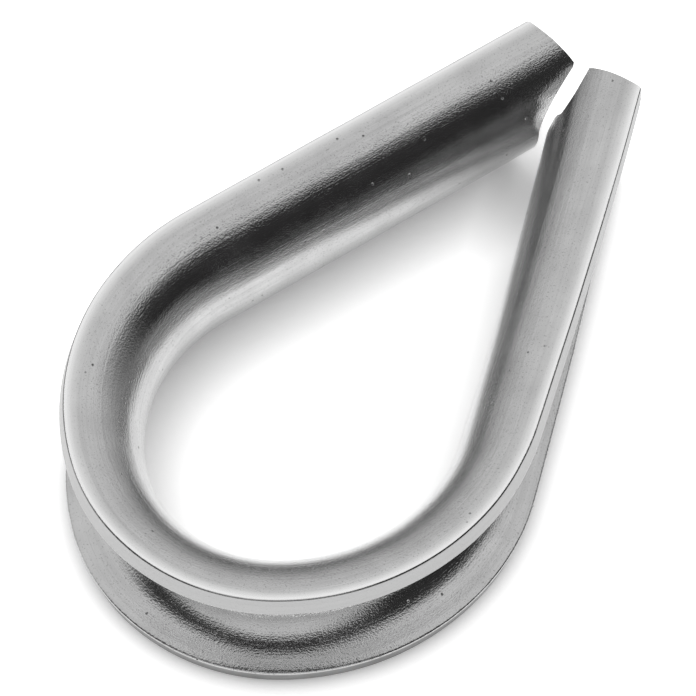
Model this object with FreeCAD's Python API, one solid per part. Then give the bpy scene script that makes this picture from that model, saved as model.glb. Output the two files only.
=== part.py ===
import FreeCAD, Part
import math
import os
from FreeCAD import Vector

# A wire rope thimble: one strip of stainless steel, formed into an open channel that faces outward and
# bent to a teardrop, with its two ends side by side at the point. It lies flat: +Z is square to the
# teardrop, +Y runs from the round crown to the point, and the lower rims rest on z = 0.
# Millimetres and degrees.

# The rope that the thimble is sized for, and the channel's cross-section.
rope_diameter = 12.0
rope_clearance = 0.5
seat_radius = rope_diameter / 2 + rope_clearance
strip_thickness = 2.5
seat_half_wrap = 76.5
lip_length = 1.7
rim_land_width = 0.5
groove_edge_radius = 0.3

# The teardrop, along the centreline of the rope that the channel carries.
crown_radius = 23.4
crown_half_angle = 36.5
shoulder_radius = 29.1
arm_half_angle = 20.4

# The point.
overall_length = 81.0
end_gap = 1.8
tip_corner_radius = 1.2

# How far the cutting shapes run past the metal, and the half-angle of the strip that the end notch covers.
cutter_margin = 1.0
trim_margin = 0.1
notch_half_angle = 60.0

wrap = math.radians(seat_half_wrap)
arm_lean = math.radians(arm_half_angle)
back_radius = seat_radius + strip_thickness
upward = Vector(0, 0, 1)
origin = Vector(0, 0, 0)


def heading(angle):
    """Unit vector in plan at an angle in degrees from -Y, turning towards +X."""
    radians = math.radians(angle)
    return Vector(math.sin(radians), -math.cos(radians), 0)


def flipped(point):
    """A point of the cross-section, mirrored from the upper half to the lower half."""
    return Vector(point.x, point.y, -point.z)


# The upper half of the cross-section, in the XZ plane, with X pointing outward from the teardrop and the
# rope's centre at the origin. The seat's curve runs on as a short straight lip. The lip's top corner is
# flattened to a narrow land, and its groove corner is rounded.
along_lip = Vector(math.sin(wrap), 0, math.cos(wrap))
through_lip = Vector(math.cos(wrap), 0, -math.sin(wrap))
back_end = Vector(-back_radius * math.cos(wrap), 0, back_radius * math.sin(wrap))
seat_end = Vector(-seat_radius * math.cos(wrap), 0, seat_radius * math.sin(wrap))
top_corner = back_end + along_lip * lip_length
land_inner = top_corner - along_lip * (rim_land_width * math.sin(wrap))
land_outer = top_corner + through_lip * (rim_land_width * math.cos(wrap))
groove_corner = top_corner + through_lip * strip_thickness
round_centre = groove_corner - (along_lip + through_lip) * groove_edge_radius
round_start = groove_corner - through_lip * groove_edge_radius
round_middle = round_centre + (along_lip + through_lip).normalize() * groove_edge_radius
round_end = groove_corner - along_lip * groove_edge_radius

half_height = land_inner.z
rim_reach = round_centre.x + groove_edge_radius
crown_y = crown_radius + rim_reach - overall_length / 2
tip_y = overall_length / 2


def cross_section():
    """The channel's cross-section as a face, with its rims pointing along +X."""
    outline = [
        Part.Arc(flipped(back_end), Vector(-back_radius, 0, 0), back_end),
        Part.LineSegment(back_end, land_inner),
        Part.LineSegment(land_inner, land_outer),
        Part.LineSegment(land_outer, round_start),
        Part.Arc(round_start, round_middle, round_end),
        Part.LineSegment(round_end, seat_end),
        Part.Arc(seat_end, Vector(-seat_radius, 0, 0), flipped(seat_end)),
        Part.LineSegment(flipped(seat_end), flipped(round_end)),
        Part.Arc(flipped(round_end), flipped(round_middle), flipped(round_start)),
        Part.LineSegment(flipped(round_start), flipped(land_outer)),
        Part.LineSegment(flipped(land_outer), flipped(land_inner)),
        Part.LineSegment(flipped(land_inner), flipped(back_end)),
    ]
    return Part.Face(Part.Wire([curve.toShape() for curve in outline]))


def section_at(point, angle):
    """The cross-section at a point of the centreline, with its rims facing out at the given heading."""
    section = cross_section()
    section.rotate(origin, upward, angle - 90)
    section.translate(point)
    return section


# The centreline on the +X side: crown arc, wider shoulder arc, then a straight arm that leans inward.
crown_centre = Vector(0, crown_y, half_height)
shoulder_centre = crown_centre + heading(crown_half_angle) * (crown_radius - shoulder_radius)
arm_outward = heading(90 + arm_half_angle)
arm_along = Vector(-math.sin(arm_lean), math.cos(arm_lean), 0)
crown_end = crown_centre + heading(crown_half_angle) * crown_radius
arm_start = shoulder_centre + arm_outward * shoulder_radius
arm_length = (tip_y - arm_start.y) / math.cos(arm_lean) + back_radius


def crown():
    """The round end, across the whole width."""
    start = crown_centre + heading(-crown_half_angle) * crown_radius
    section = section_at(start, -crown_half_angle)
    return section.revolve(crown_centre, upward, 2 * crown_half_angle)


def shoulder():
    """The gentler bend between crown and arm, on the +X side."""
    section = section_at(crown_end, crown_half_angle)
    return section.revolve(shoulder_centre, upward, 90 + arm_half_angle - crown_half_angle)


def notch_edge(radius, centre):
    """Where the end notch meets a cylinder of this radius about the arm's centreline."""
    depth = arm_along * (back_radius / math.tan(arm_lean)) + arm_outward * radius
    ellipse = Part.Ellipse(centre - depth, centre + upward * radius, centre)
    half_angle = math.radians(notch_half_angle)
    return Part.ArcOfEllipse(ellipse, -half_angle, half_angle).toShape()


def arm():
    """The straight arm on the +X side. Its end is notched square to the strip, so that the eye side stops
    along a plane parallel to the mid-plane and the gap opens out towards the groove."""
    bar = section_at(arm_start, 90 + arm_half_angle).extrude(arm_along * arm_length)
    reach = (arm_start.x - end_gap / 2) / math.sin(arm_lean)
    centre = arm_start + arm_along * reach
    inside = notch_edge(seat_radius - cutter_margin, centre)
    outside = notch_edge(back_radius + cutter_margin, centre)
    notch = Part.makeRuledSurface(inside, outside).extrude(arm_along * overall_length)
    return bar.cut(notch)


def tip_trim():
    """A wedge just outside the arms, squared off at the point, with rounded corners there."""
    beside_arm = arm_start + arm_outward * (rim_reach + trim_margin)
    far_y = -tip_y - cutter_margin
    tip_x = beside_arm.x - (tip_y - beside_arm.y) * math.tan(arm_lean)
    far_x = beside_arm.x - (far_y - beside_arm.y) * math.tan(arm_lean)
    plan = [(tip_x, tip_y), (-tip_x, tip_y), (-far_x, far_y), (far_x, far_y), (tip_x, tip_y)]
    outline = Part.Face(Part.makePolygon([Vector(x, y, -cutter_margin) for x, y in plan]))
    wedge = outline.extrude(upward * 2 * (half_height + cutter_margin))
    tip_edges = [line for line in wedge.Edges if line.BoundBox.YMin > tip_y - trim_margin]
    uprights = [line for line in tip_edges if line.BoundBox.ZLength > half_height]
    return wedge.makeFillet(tip_corner_radius, uprights)


def thimble():
    """The whole strip, in one piece."""
    side = [shoulder(), arm()]
    other_side = [piece.mirror(origin, Vector(1, 0, 0)) for piece in side]
    strip = crown().multiFuse(side + other_side)
    return strip.common(tip_trim()).removeSplitter()


os.makedirs("parts", exist_ok=True)
body = thimble()
body.exportStep("parts/thimble.step")

box = body.optimalBoundingBox(False, False)
eye_width = 2 * (shoulder_centre.x + shoulder_radius - back_radius)
print("solids", len(body.Solids), "valid", body.isValid(), "volume in mm3", round(body.Volume))
print("size", round(box.XLength, 2), round(box.YLength, 2), round(box.ZLength, 2))
print("groove width", 2 * seat_radius, "eye width", round(eye_width, 1))
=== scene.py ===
import math

import bmesh
import bpy
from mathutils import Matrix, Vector, noise


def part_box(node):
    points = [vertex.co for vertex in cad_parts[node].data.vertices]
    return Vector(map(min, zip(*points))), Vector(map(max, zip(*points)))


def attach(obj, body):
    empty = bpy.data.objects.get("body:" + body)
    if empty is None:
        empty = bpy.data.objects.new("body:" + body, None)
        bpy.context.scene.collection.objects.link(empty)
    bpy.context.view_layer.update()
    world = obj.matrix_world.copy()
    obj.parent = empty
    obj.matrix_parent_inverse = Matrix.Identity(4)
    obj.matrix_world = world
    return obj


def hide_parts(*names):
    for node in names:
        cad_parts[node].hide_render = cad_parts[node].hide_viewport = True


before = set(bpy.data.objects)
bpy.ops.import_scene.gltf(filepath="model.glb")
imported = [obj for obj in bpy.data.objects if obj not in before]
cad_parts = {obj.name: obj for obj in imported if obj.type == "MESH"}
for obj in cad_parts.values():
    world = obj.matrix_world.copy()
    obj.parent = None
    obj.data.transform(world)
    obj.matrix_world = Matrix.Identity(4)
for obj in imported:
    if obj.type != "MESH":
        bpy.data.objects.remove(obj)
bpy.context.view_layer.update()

# A stainless steel wire rope thimble lying flat: one strip, formed into an open channel and bent to a
# teardrop. Lengths are in metres and angles in degrees, in the frame of the CAD model: +Y runs from the
# round crown to the point, and +Z is square to the teardrop.

MM = 0.001
low, high = (Vector(corner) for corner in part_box("thimble"))

# The channel's cross-section, as in the CAD model.
SEAT_RADIUS = 6.5 * MM
STRIP_THICKNESS = 2.5 * MM
BACK_RADIUS = SEAT_RADIUS + STRIP_THICKNESS
SEAT_HALF_WRAP = 76.5
LIP_LENGTH = 1.7 * MM
RIM_LAND_WIDTH = 0.5 * MM
GROOVE_EDGE_RADIUS = 0.3 * MM

# The teardrop, along the centreline of the rope.
CROWN_RADIUS = 23.4 * MM
CROWN_HALF_ANGLE = 36.5
SHOULDER_RADIUS = 29.1 * MM
ARM_HALF_ANGLE = 20.4
END_GAP = 1.8 * MM
TIP_CORNER_RADIUS = 1.2 * MM

# What forming left behind: slightly wavy walls, and one arm that twists and leans into the eye towards its
# end, so that its upper flange tips outward and its lower flange tucks in.
WAVE_HEIGHT = 0.08 * MM
WAVE_LENGTH = 9 * MM
TWIST = 8.5
TWIST_START = 48 * MM
LEAN_IN = 0.95 * MM
LEAN_START = 58 * MM

# The twisted end is also cut back above the web, between section angles, and trimmed to stay within the
# length. The plain end is cut deeper below mid-height, and runs out to its full length at the lower rim.
CUT_BACK = 1.7 * MM
CUT_BACK_FROM = (16, 28)
CUT_BACK_TO = (34, 50)
TWISTED_END_TRIM = 0.12 * MM
LOWER_RUN_OUT = 8 * MM
LOWER_RUN_OUT_ANGLES = (63, 78)

# The line where the sheared rim meets its flat land.
CREASE_WIDTH = 0.13 * MM
CREASE_DEPTH = 0.10 * MM

# How finely the mesh follows the curves, and how far its sharp edges are broken.
BEND_STEP = 1.5
WRAP_STEP = 2.5
ARM_STEPS = 64
RIM_STEPS = 5
EDGE_BREAK = 0.10 * MM
SHARP_ANGLE = math.radians(35)


# ------------------------------------------------------------------ cross-section
# A point of the cross-section is (outward, upward) from the rope's centre.

wrap = math.radians(SEAT_HALF_WRAP)
along_lip = Vector((math.sin(wrap), math.cos(wrap)))
through_lip = Vector((math.cos(wrap), -math.sin(wrap)))


def on_arc(radius, angle):
    """The point of the channel's curved wall at an angle above mid-height."""
    turn = math.radians(angle)
    return Vector((-radius * math.cos(turn), radius * math.sin(turn)))


top_corner = on_arc(BACK_RADIUS, SEAT_HALF_WRAP) + along_lip * LIP_LENGTH
land_inner = top_corner - along_lip * (RIM_LAND_WIDTH * math.sin(wrap))
land_outer = top_corner + through_lip * (RIM_LAND_WIDTH * math.cos(wrap))
groove_corner = top_corner + through_lip * STRIP_THICKNESS
round_centre = groove_corner - (along_lip + through_lip) * GROOVE_EDGE_RADIUS
groove_lip_end = groove_corner - along_lip * GROOVE_EDGE_RADIUS
RIM_REACH = round_centre.x + GROOVE_EDGE_RADIUS


def even_steps(start, end, step):
    """Evenly spaced values from start to end, both included, about one step apart."""
    count = max(1, round(abs(end - start) / step))
    return [start + (end - start) * index / count for index in range(count + 1)]


def wall(radius, lip_end):
    """One side of the strip, from the lower lip's end to the upper lip's end."""
    arc = [on_arc(radius, angle) for angle in even_steps(-SEAT_HALF_WRAP, SEAT_HALF_WRAP, WRAP_STEP)]
    upper_lip = [arc[-1].lerp(lip_end, 0.5), lip_end]
    lower_lip = [Vector((point.x, -point.y)) for point in reversed(upper_lip)]
    return lower_lip + arc + upper_lip


def rim():
    """The upper rim's end without the walls: the flat land, a fine crease and the rounded groove edge."""
    land_end = land_outer - Vector((CREASE_WIDTH, 0))
    crease = land_outer - (along_lip + Vector((0, 1))).normalized() * CREASE_DEPTH
    face_start = land_outer + through_lip * CREASE_WIDTH
    round_start = round_centre + along_lip * GROOVE_EDGE_RADIUS
    face = [face_start.lerp(round_start, index / RIM_STEPS) for index in range(RIM_STEPS + 1)]
    corner = []
    for turn in (math.pi / 6, math.pi / 3):
        direction = along_lip * math.cos(turn) + through_lip * math.sin(turn)
        corner.append(round_centre + direction * GROOVE_EDGE_RADIUS)
    return [land_inner.lerp(land_end, 0.5), land_end, crease] + face + corner


eye_wall = wall(BACK_RADIUS, land_inner)
groove_wall = wall(SEAT_RADIUS, groove_lip_end)
upper_rim = rim()
lower_rim = [Vector((point.x, -point.y)) for point in reversed(upper_rim)]
section = eye_wall + upper_rim + groove_wall[::-1] + lower_rim

# How the finish and the painted light change from point to point over a rim, counted from the eye wall's last
# point but one:
# a painted highlight towards the land, painted shade in the crease, and a rough sheared face beyond it.
MARK_NAMES_WITH_PAINTED_LIGHT = ("painted_highlight", "painted_shade", "sheared")
# Painted shade on the lower rim's sheared face, where the thimble stands on the table.
LOWER_RIM_PAINTED_SHADE = 0.6
# Painted highlight: how far each point towards the rim's land is painted lighter.
highlight_of = {0: 0.25, 1: 0.75, 2: 1.0, 3: 1.0}
crease_at = 4
sheared_steps = range(crease_at + 1, crease_at + RIM_STEPS + 2)
rim_start = len(eye_wall) - 2
rim_length = len(upper_rim) + 2


# ------------------------------------------------------------------ teardrop

def heading(angle):
    """Unit vector in plan at an angle from -Y, turning towards +X."""
    turn = math.radians(angle)
    return Vector((math.sin(turn), -math.cos(turn), 0))


lean = math.radians(ARM_HALF_ANGLE)
mid_height = (low.z + high.z) / 2
crown_centre = Vector((0, low.y + CROWN_RADIUS + RIM_REACH, mid_height))
shoulder_centre = crown_centre + heading(CROWN_HALF_ANGLE) * (CROWN_RADIUS - SHOULDER_RADIUS)
arm_outward = heading(90 + ARM_HALF_ANGLE)
arm_along = Vector((-math.sin(lean), math.cos(lean), 0))
arm_start = shoulder_centre + arm_outward * SHOULDER_RADIUS
notch_apex = (arm_start.x - END_GAP / 2) / math.sin(lean)
bend_length = math.radians(CROWN_HALF_ANGLE) * CROWN_RADIUS
bend_length += math.radians(90 + ARM_HALF_ANGLE - CROWN_HALF_ANGLE) * SHOULDER_RADIUS
strip_half_length = bend_length + (high.y - arm_start.y) / math.cos(lean)


def smooth_share(value, limits):
    """0 below the first limit, 1 above the second, and an S-curve between."""
    share = min(max((value - limits[0]) / (limits[1] - limits[0]), 0), 1)
    return share * share * (3 - 2 * share)


def notch_end(point, side):
    """How far along the arm the notch lets the strip reach, with the hand trimming of each end."""
    angle = math.degrees(math.atan2(point.y, -point.x))
    deepest = notch_apex - BACK_RADIUS / math.tan(lean)
    if side < 0 and angle < 0:
        return deepest + LOWER_RUN_OUT * smooth_share(-angle, LOWER_RUN_OUT_ANGLES)
    notch = notch_apex - math.cos(math.radians(angle)) * BACK_RADIUS / math.tan(lean)
    if side < 0:
        return notch
    return notch - CUT_BACK * smooth_share(angle, CUT_BACK_FROM) * (1 - smooth_share(angle, CUT_BACK_TO))


def arm_end(point, side):
    """How far along the arm the strip reaches at a point of its cross-section. The end is squared off at the
    point, notched so that the two eye walls stop a small gap apart, and rounded at its outer corners."""
    reach = (high.y - arm_start.y - point.x * math.sin(lean)) / math.cos(lean)
    inward = RIM_REACH - point.x
    if inward < TIP_CORNER_RADIUS * (1 - math.sin(lean)):
        reach += TIP_CORNER_RADIUS * (math.tan(lean) - 1 / math.cos(lean)) - inward * math.tan(lean)
        reach += math.sqrt(max(0, inward * (2 * TIP_CORNER_RADIUS - inward)))
    if side > 0:
        reach -= TWISTED_END_TRIM
    return min(reach, notch_end(point, side))


def stations(side):
    """Half of the strip as rows, as if on the +X side: for each point of the cross-section, its centreline
    point, its outward direction and its distance along the centreline."""
    rows = []
    for angle in even_steps(0, CROWN_HALF_ANGLE, BEND_STEP):
        out = heading(angle)
        distance = math.radians(angle) * CROWN_RADIUS
        rows.append([(crown_centre + out * CROWN_RADIUS, out, distance)] * len(section))
    for angle in even_steps(CROWN_HALF_ANGLE, 90 + ARM_HALF_ANGLE, BEND_STEP)[1:]:
        out = heading(angle)
        turned = math.radians(90 + ARM_HALF_ANGLE - angle)
        distance = bend_length - turned * SHOULDER_RADIUS
        rows.append([(shoulder_centre + out * SHOULDER_RADIUS, out, distance)] * len(section))
    for index in range(1, ARM_STEPS + 1):
        reaches = [arm_end(point, side) * index / ARM_STEPS for point in section]
        ends = [(arm_start + arm_along * reach, arm_outward, bend_length + reach) for reach in reaches]
        rows.append(ends)
    return rows


def share_from(start, distance):
    """How much of the way from a start to the strip's end a place lies: 0 before the start, 1 at the end."""
    return max(0, (distance - start) / (strip_half_length - start))


def formed(point, distance, side):
    """Where forming left a point of the cross-section, at a distance from the crown."""
    if side < 0:
        return point
    turn = math.radians(TWIST) * share_from(TWIST_START, distance)
    out = point.x * math.cos(turn) + point.y * math.sin(turn)
    up = point.y * math.cos(turn) - point.x * math.sin(turn)
    return Vector((out - LEAN_IN * share_from(LEAN_START, distance) ** 2, up))


def strip_rows():
    """Rows of (position, distance along the strip) from one end of the strip to the other. The waves only
    ever take a wall inward, and no part rises above the rims' height."""
    rows = []
    for side in (-1, 1):
        half = stations(side)
        side_rows = []
        for row in half if side > 0 else half[:0:-1]:
            placed = []
            for point, (centre, out, distance) in zip(section, row):
                here = formed(point, distance, side)
                place = centre + out * here.x + Vector((0, 0, here.y))
                place.x *= side
                out_here = Vector((out.x * side, out.y, 0))
                place -= out_here * (1 + noise.noise(place / WAVE_LENGTH)) * WAVE_HEIGHT / 2
                place.z = min(place.z, high.z)
                placed.append((place, distance * side))
            side_rows.append(placed)
        rows += side_rows
    return rows


def paint_finish_and_light(vertex, column, marks_and_painted_light):
    """Record on a vertex how much painted highlight and painted shade it gets, and how rough the steel is
    there. The two rims are alike, but for the painted shade on the face that the thimble stands on."""
    lower_step = (len(eye_wall) - 1 - column) % len(section) - rim_start
    on_lower_rim = 0 <= lower_step < rim_length
    step = lower_step if on_lower_rim else column - rim_start
    sheared = step in sheared_steps
    # Painted highlight on the land; painted shade in the crease and, on the lower rim, over the sheared face.
    vertex[marks_and_painted_light["painted_highlight"]] = highlight_of.get(step, 0)
    vertex[marks_and_painted_light["painted_shade"]] = 1 if step == crease_at else LOWER_RIM_PAINTED_SHADE * (sheared and on_lower_rim)
    vertex[marks_and_painted_light["sheared"]] = sheared


def close_end(mesh, end, broken):
    """Close one end of the strip, between its walls and over its rims, and mark its outline for breaking."""
    last = len(eye_wall) - 1
    groove_start = len(eye_wall) + len(upper_rim)
    eye_edge = end[: last + 1]
    groove_edge = end[groove_start : groove_start + len(groove_wall)][::-1]
    for index in range(last):
        mesh.faces.new((eye_edge[index], eye_edge[index + 1], groove_edge[index + 1], groove_edge[index]))
    mesh.faces.new([eye_edge[last]] + end[last + 1 : groove_start] + [groove_edge[last]])
    mesh.faces.new([groove_edge[0]] + end[-len(lower_rim) :] + [eye_edge[0]])
    for near, far in zip(end, end[1:] + end[:1]):
        mesh.edges.get((near, far))[broken] = 1


def build_thimble():
    """The strip as one closed mesh, with texture coordinates in metres along and around it."""
    mesh = bmesh.new()
    layout = mesh.loops.layers.uv.new("strip")
    marks_and_painted_light = {name: mesh.verts.layers.float.new(name) for name in MARK_NAMES_WITH_PAINTED_LIGHT}
    broken = mesh.edges.layers.float.new("bevel_weight_edge")
    rows = strip_rows()
    grid = [[mesh.verts.new(place) for place, _ in row] for row in rows]
    around = [0]
    for before, after in zip(section, section[1:] + section[:1]):
        around.append(around[-1] + (after - before).length)
    count = len(section)
    for line in grid:
        for column, vertex in enumerate(line):
            paint_finish_and_light(vertex, column, marks_and_painted_light)
    for row, (near, far) in enumerate(zip(grid, grid[1:])):
        for column in range(count):
            following = (column + 1) % count
            face = mesh.faces.new((near[column], far[column], far[following], near[following]))
            corners = ((row, column, 0), (row + 1, column, 0), (row + 1, following, 1), (row, following, 1))
            for loop, (at, vertex, step) in zip(face.loops, corners):
                loop[layout].uv = (rows[at][vertex][1], around[column + step])
    for end in (grid[0], grid[-1]):
        close_end(mesh, end, broken)
    bmesh.ops.recalc_face_normals(mesh, faces=mesh.faces)
    for face in mesh.faces:
        face.smooth = True
    for edge in mesh.edges:
        edge.smooth = not edge[broken] and edge.calc_face_angle(0) < SHARP_ANGLE
    data = bpy.data.meshes.new("thimble_strip")
    mesh.to_mesh(data)
    mesh.free()
    piece = bpy.data.objects.new("thimble_strip", data)
    bpy.context.scene.collection.objects.link(piece)
    edges = piece.modifiers.new("broken_edges", "BEVEL")
    edges.width = EDGE_BREAK
    edges.segments = 2
    edges.limit_method = "WEIGHT"
    edges.harden_normals = True
    return piece


# ------------------------------------------------------------------ materials

# Relief of the steel's surface.
GRAIN_SIZE, GRAIN_DEPTH = 0.18 * MM, 0.028 * MM
DIMPLE_SPACING, DIMPLE_DEPTH = 0.30 * MM, 0.007 * MM
PATCH_SIZE = 4 * MM
LINE_LENGTH, LINE_WIDTH, LINE_DEPTH = 12 * MM, 0.16 * MM, 0.010 * MM
STREAK_LENGTH, STREAK_WIDTH, STREAK_DEPTH = 25 * MM, 0.6 * MM, 0.014 * MM
SCRATCH_LENGTH, SCRATCH_WIDTH, SCRATCH_DEPTH = 7 * MM, 0.10 * MM, 0.004 * MM
PIT_SPACING, PIT_WIDTH, PIT_DEPTH = 1.9 * MM, 0.34 * MM, 0.05 * MM
PIT_SHARE = 0.6
SCRATCH_TURN = 38

# The steel's own greys, then the grey that each mark blends it towards and the largest share of the blend.
# Levels say where a noise pattern begins to tell and where it tells fully.
STEEL_GREYS, PATCH_LEVELS = (0.48, 0.56), (0.3, 0.7)
LINE_GREY, LINE_SHARE, LINE_LEVELS = 0.40, 0.3, (0.35, 0.75)
STREAK_GREY, STREAK_SHARE, STREAK_LEVELS = 0.38, 0.3, (0.45, 0.7)
SCRATCH_GREY, SCRATCH_SHARE, SCRATCH_LEVELS = 0.30, 0.35, (0.69, 0.76)
SPECK_GREY, SPECK_SHARE, SPECK_LEVELS = 0.20, 0.5, (0.60, 0.68)
PIT_GREY, PIT_BLEND = 0.10, 0.85
SHEARED_GREY, SHEARED_BLEND = 0.36, 0.7
# Painted highlight: the light grey laid over each rim's land.
LAND_HIGHLIGHT_GREY = 0.84
# Painted shade: the dark grey laid into each rim's crease and, in part, over the lower rim's face, with the
# broad noise varying its share.
PAINTED_SHADE_GREY, PAINTED_SHADE_SHARES, PAINTED_SHADE_LEVELS = 0.08, (1, 0.55), (0.25, 0.6)
POLISHED_ROUGHNESS = (0.11, 0.17)
SHEARED_ROUGHNESS = 0.25

# The table's own grey and its painted glow, which stands in for strong light from above, with painted shade
# that dims the glow close to the thimble.
TABLE_GREY = 0.85
TABLE_PAINTED_GLOW = 0.92
TABLE_SHADE_REACH = 9 * MM
TABLE_SHADE_POWER = 1.3


def stainless_steel():
    """Tumbled stainless steel: fine grain and dimples, faint lines and streaks along the strip, scratches and
    small pits, with a painted highlight on the land round each rim, painted shade in its crease and on the
    lower rim's face, and a rough sheared face."""
    material = bpy.data.materials.new("stainless_steel")
    material.use_nodes = True
    nodes = material.node_tree.nodes
    links = material.node_tree.links
    shader = nodes["Principled BSDF"]
    shader.inputs["Metallic"].default_value = 1.0
    place = nodes.new("ShaderNodeTexCoord")

    def noise_at(size, detail, source=None):
        texture = nodes.new("ShaderNodeTexNoise")
        texture.inputs["Scale"].default_value = 1 / size
        texture.inputs["Detail"].default_value = detail
        links.new(source or place.outputs["Object"], texture.inputs["Vector"])
        return texture.outputs["Fac"]

    def cells_at(spacing):
        texture = nodes.new("ShaderNodeTexVoronoi")
        texture.inputs["Scale"].default_value = 1 / spacing
        links.new(place.outputs["Object"], texture.inputs["Vector"])
        return texture

    def along_strip(length, width, turn=0):
        """Strip coordinates stretched so that noise of size 1 becomes streaks of this length and width."""
        stretch = nodes.new("ShaderNodeMapping")
        stretch.inputs["Rotation"].default_value = (0, 0, math.radians(turn))
        stretch.inputs["Scale"].default_value = (1 / length, 1 / width, 1)
        links.new(place.outputs["UV"], stretch.inputs["Vector"])
        return stretch.outputs["Vector"]

    def remap(value, from_low, from_high, to_low, to_high):
        ranged = nodes.new("ShaderNodeMapRange")
        for index, number in enumerate((from_low, from_high, to_low, to_high), start=1):
            ranged.inputs[index].default_value = number
        links.new(value, ranged.inputs["Value"])
        return ranged.outputs["Result"]

    def combine(operation, first, second):
        node = nodes.new("ShaderNodeMath")
        node.operation = operation
        links.new(first, node.inputs[0])
        links.new(second, node.inputs[1])
        return node.outputs[0]

    def painted(name):
        node = nodes.new("ShaderNodeAttribute")
        node.attribute_name = name
        return node.outputs["Fac"]

    def blend(share, first, grey):
        """Move a colour towards a grey by a varying share."""
        node = nodes.new("ShaderNodeMix")
        node.data_type = "RGBA"
        links.new(share, node.inputs["Factor"])
        if isinstance(first, float):
            node.inputs["A"].default_value = (first, first, first, 1)
        else:
            links.new(first, node.inputs["A"])
        node.inputs["B"].default_value = (grey, grey, grey, 1)
        return node.outputs["Result"]

    fine = noise_at(GRAIN_SIZE, 3)
    broad = noise_at(PATCH_SIZE, 3)
    lines = noise_at(1, 1, along_strip(LINE_LENGTH, LINE_WIDTH))
    streaks = noise_at(1, 1, along_strip(STREAK_LENGTH, STREAK_WIDTH))
    scratches = noise_at(1, 1, along_strip(SCRATCH_LENGTH, SCRATCH_WIDTH, SCRATCH_TURN))

    dimples = cells_at(DIMPLE_SPACING).outputs["Distance"]
    cells = cells_at(PIT_SPACING)
    chance = nodes.new("ShaderNodeSeparateColor")
    links.new(cells.outputs["Color"], chance.inputs["Color"])
    pit_reach = PIT_WIDTH / PIT_SPACING
    near = remap(cells.outputs["Distance"], 0.5 * pit_reach, 0.2 * pit_reach, 0, 1)
    pits = combine("MULTIPLY", near, remap(chance.outputs["Red"], 1 - PIT_SHARE, 1.02 - PIT_SHARE, 0, 1))

    colour = blend(remap(broad, *PATCH_LEVELS, 0, 1), *STEEL_GREYS)
    colour = blend(remap(lines, *LINE_LEVELS, 0, LINE_SHARE), colour, LINE_GREY)
    colour = blend(remap(streaks, *STREAK_LEVELS, 0, STREAK_SHARE), colour, STREAK_GREY)
    colour = blend(remap(scratches, *SCRATCH_LEVELS, 0, SCRATCH_SHARE), colour, SCRATCH_GREY)
    colour = blend(remap(fine, *SPECK_LEVELS, 0, SPECK_SHARE), colour, SPECK_GREY)
    colour = blend(remap(pits, 0, 1, 0, PIT_BLEND), colour, PIT_GREY)
    colour = blend(remap(painted("sheared"), 0, 1, 0, SHEARED_BLEND), colour, SHEARED_GREY)
    # Painted highlight on each rim's land.
    colour = blend(painted("painted_highlight"), colour, LAND_HIGHLIGHT_GREY)
    # Painted shade in the crease and on the lower rim's sheared face, varied by the broad noise.
    painted_shade_share = combine("MULTIPLY", painted("painted_shade"), remap(broad, *PAINTED_SHADE_LEVELS, *PAINTED_SHADE_SHARES))
    colour = blend(painted_shade_share, colour, PAINTED_SHADE_GREY)
    links.new(colour, shader.inputs["Base Color"])
    polish = remap(broad, *PATCH_LEVELS, *POLISHED_ROUGHNESS)
    roughening = remap(painted("sheared"), 0, 1, 0, SHEARED_ROUGHNESS)
    links.new(combine("ADD", polish, roughening), shader.inputs["Roughness"])

    normal = None
    reliefs = (
        (streaks, STREAK_DEPTH),
        (lines, LINE_DEPTH),
        (scratches, SCRATCH_DEPTH),
        (dimples, DIMPLE_DEPTH),
        (fine, GRAIN_DEPTH),
        (pits, -PIT_DEPTH),
    )
    for height, depth in reliefs:
        bump = nodes.new("ShaderNodeBump")
        bump.inputs["Distance"].default_value = abs(depth)
        bump.invert = depth < 0
        links.new(height, bump.inputs["Height"])
        if normal:
            links.new(normal, bump.inputs["Normal"])
        normal = bump.outputs["Normal"]
    links.new(normal, shader.inputs["Normal"])
    return material


def white_table_painted_glow():
    """A matt white table top with a painted glow that stands in for strong light from above; painted shade
    dims the glow where the thimble stands over it.
    """
    material = bpy.data.materials.new("white_table_painted_glow")
    material.use_nodes = True
    nodes = material.node_tree.nodes
    links = material.node_tree.links
    shader = nodes["Principled BSDF"]
    shader.inputs["Base Color"].default_value = (TABLE_GREY, TABLE_GREY, TABLE_GREY, 1)
    shader.inputs["Roughness"].default_value = 0.9
    shader.inputs["Specular IOR Level"].default_value = 0.1
    shader.inputs["Emission Color"].default_value = (1, 1, 1, 1)
    # Painted shade: ambient occlusion dims the table's glow close to the thimble.
    openness = nodes.new("ShaderNodeAmbientOcclusion")
    openness.samples = 8
    openness.inputs["Distance"].default_value = TABLE_SHADE_REACH
    shaded = nodes.new("ShaderNodeMath")
    shaded.operation = "POWER"
    shaded.inputs[1].default_value = TABLE_SHADE_POWER
    links.new(openness.outputs["AO"], shaded.inputs[0])
    # Painted light: the table glows by emission, though it is no lamp.
    painted_glow = nodes.new("ShaderNodeMath")
    painted_glow.operation = "MULTIPLY"
    painted_glow.inputs[1].default_value = TABLE_PAINTED_GLOW
    links.new(shaded.outputs[0], painted_glow.inputs[0])
    links.new(painted_glow.outputs[0], shader.inputs["Emission Strength"])
    return material


# ------------------------------------------------------------------ studio

VIEW_TURN = 35.9
VIEW_ELEVATION = 59.05
VIEW_DISTANCE = 573 * MM
FOCAL_LENGTH = 269.2
SENSOR_WIDTH = 36
AIM_OFFSET = Vector((-1.88, -1.77, 0)) * MM
CLIP_START, CLIP_END = 10 * MM, 20
FLOOR_HALF_WIDTH = 2.0

turn = math.radians(VIEW_TURN)
away = Vector((-math.sin(turn), math.cos(turn), 0))
rightward = Vector((math.cos(turn), math.sin(turn), 0))


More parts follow.
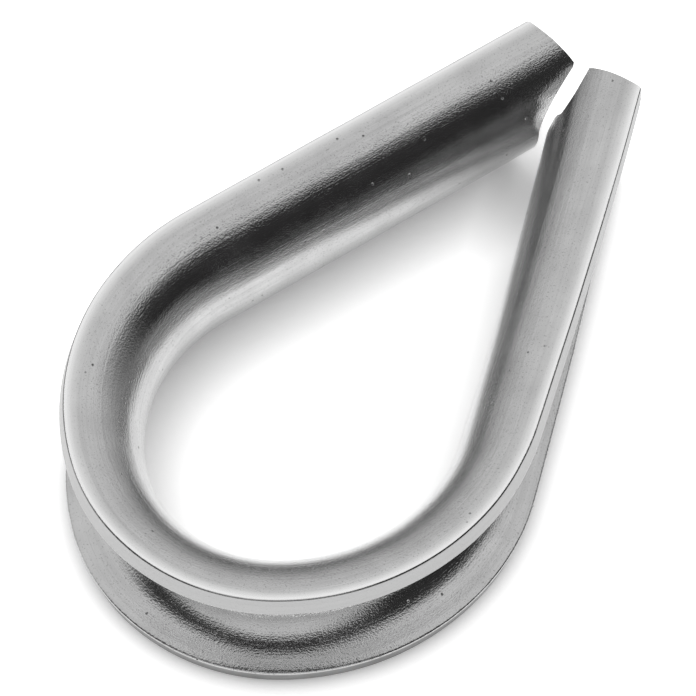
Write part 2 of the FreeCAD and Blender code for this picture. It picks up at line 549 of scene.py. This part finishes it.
def add_camera():
    """A long lens, looking down over the crown with the point away to the right."""
    rise = math.radians(VIEW_ELEVATION)
    aim = (low + high) / 2 + AIM_OFFSET
    camera_data = bpy.data.cameras.new("camera")
    camera_data.sensor_width = SENSOR_WIDTH
    camera_data.lens = FOCAL_LENGTH
    camera_data.clip_start = CLIP_START
    camera_data.clip_end = CLIP_END
    camera = bpy.data.objects.new("camera", camera_data)
    camera.location = aim + (Vector((0, 0, math.sin(rise))) - away * math.cos(rise)) * VIEW_DISTANCE
    camera.rotation_euler = (aim - camera.location).to_track_quat("-Z", "Y").to_euler()
    bpy.context.scene.collection.objects.link(camera)
    bpy.context.scene.camera = camera


def add_floor():
    """A wide white table top under the rims, with a painted glow and painted shade near the thimble."""
    half = FLOOR_HALF_WIDTH
    data = bpy.data.meshes.new("floor")
    corners = [(-half, -half, low.z), (half, -half, low.z), (half, half, low.z), (-half, half, low.z)]
    data.from_pydata(corners, [], [(0, 1, 2, 3)])
    floor = bpy.data.objects.new("floor", data)
    data.materials.append(white_table_painted_glow())
    bpy.context.scene.collection.objects.link(floor)


# The studio round the table. Its sky brightens from the horizon to a height, given as a sine. A dark arch
# stands from the right, over the camera, down to the left. Its stops are a bearing, clockwise from straight
# away from the camera, and the elevations of its lower and upper edges there.
SKY_LOW, SKY_HIGH = 0.50, 0.95
SKY_FULL_HEIGHT = 0.65
ARCH_DARKNESS = 0.95
ARCH_EDGE = 4
ARCH_STOPS = (
    (45, 0, 34),
    (100, 0, 45),
    (128, 0, 55),
    (142, 12, 74),
    (158, 44, 90),
    (180, 51, 94),
    (203, 47, 92),
    (225, 31, 70),
    (243, 12, 54),
    (258, 11, 49),
    (270, 15, 43),
)
ARCH_FADE_IN = 50
ARCH_FADE_OUT = 15


def add_studio_light():
    """A soft white room with a dark arch on the camera's side."""
    world = bpy.data.worlds.new("studio")
    bpy.context.scene.world = world
    world.use_nodes = True
    nodes = world.node_tree.nodes
    links = world.node_tree.links

    def fill(node, index, value):
        if isinstance(value, (int, float)):
            node.inputs[index].default_value = value
        else:
            links.new(value, node.inputs[index])

    def math_node(operation, first, second=0.0):
        node = nodes.new("ShaderNodeMath")
        node.operation = operation
        fill(node, 0, first)
        fill(node, 1, second)
        return node.outputs[0]

    def ramp(value, from_low, from_high, to_low, to_high):
        node = nodes.new("ShaderNodeMapRange")
        node.interpolation_type = "SMOOTHSTEP"
        for index, number in enumerate((value, from_low, from_high, to_low, to_high)):
            fill(node, index, number)
        return node.outputs[0]

    direction = nodes.new("ShaderNodeTexCoord").outputs["Generated"]

    def along(axis):
        node = nodes.new("ShaderNodeVectorMath")
        node.operation = "DOT_PRODUCT"
        node.inputs[1].default_value = axis
        links.new(direction, node.inputs[0])
        return node.outputs["Value"]

    first, last = ARCH_STOPS[0][0], ARCH_STOPS[-1][0]
    middle = math.radians((first + last) / 2)
    half_span = math.radians((last - first) / 2)
    toward_middle = away * math.cos(middle) + rightward * math.sin(middle)
    beyond_middle = rightward * math.cos(middle) - away * math.sin(middle)
    up = along((0, 0, 1))
    elevation = math_node("ARCSINE", up)
    bearing = math_node("ARCTAN2", along(beyond_middle), along(toward_middle))
    share = math_node("MULTIPLY_ADD", bearing, 0.5 / half_span)
    share.node.inputs[2].default_value = 0.5

    def edge_elevation(column):
        """The elevation of one edge of the arch at a bearing, in quarter turns."""
        node = nodes.new("ShaderNodeValToRGB")
        stops = node.color_ramp.elements
        stops.remove(stops[1])
        for index, stop in enumerate(ARCH_STOPS):
            position = (stop[0] - first) / (last - first)
            element = stops[0] if index == 0 else stops.new(position)
            element.position = position
            grey = stop[column] / 90
            element.color = (grey, grey, grey, 1)
        links.new(share, node.inputs["Fac"])
        return node.outputs["Color"]

    height = math_node("DIVIDE", elevation, math.pi / 2)
    edge = ARCH_EDGE / 90
    above = ramp(math_node("SUBTRACT", height, edge_elevation(1)), -edge, edge, 0.0, 1.0)
    below = ramp(math_node("SUBTRACT", height, edge_elevation(2)), -edge, edge, 1.0, 0.0)
    fade_in = ramp(bearing, -half_span, math.radians(ARCH_FADE_IN) - half_span, 0.0, 1.0)
    fade_out = ramp(bearing, half_span - math.radians(ARCH_FADE_OUT), half_span, 1.0, 0.0)
    ends = math_node("MULTIPLY", fade_in, fade_out)
    arch = math_node("MULTIPLY", math_node("MULTIPLY", above, below), ends)
    dark = math_node("MULTIPLY", arch, ARCH_DARKNESS)
    sky = ramp(up, 0.0, SKY_FULL_HEIGHT, SKY_LOW, SKY_HIGH)
    strength = math_node("MULTIPLY", sky, math_node("SUBTRACT", 1.0, dark))
    links.new(strength, nodes["Background"].inputs["Strength"])
    nodes["Background"].inputs["Color"].default_value = (1, 1, 1, 1)


piece = build_thimble()
piece.data.materials.append(stainless_steel())
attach(piece, "root")
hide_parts("thimble")
add_floor()
add_camera()
add_studio_light()
bpy.context.scene.view_settings.view_transform = "Standard"
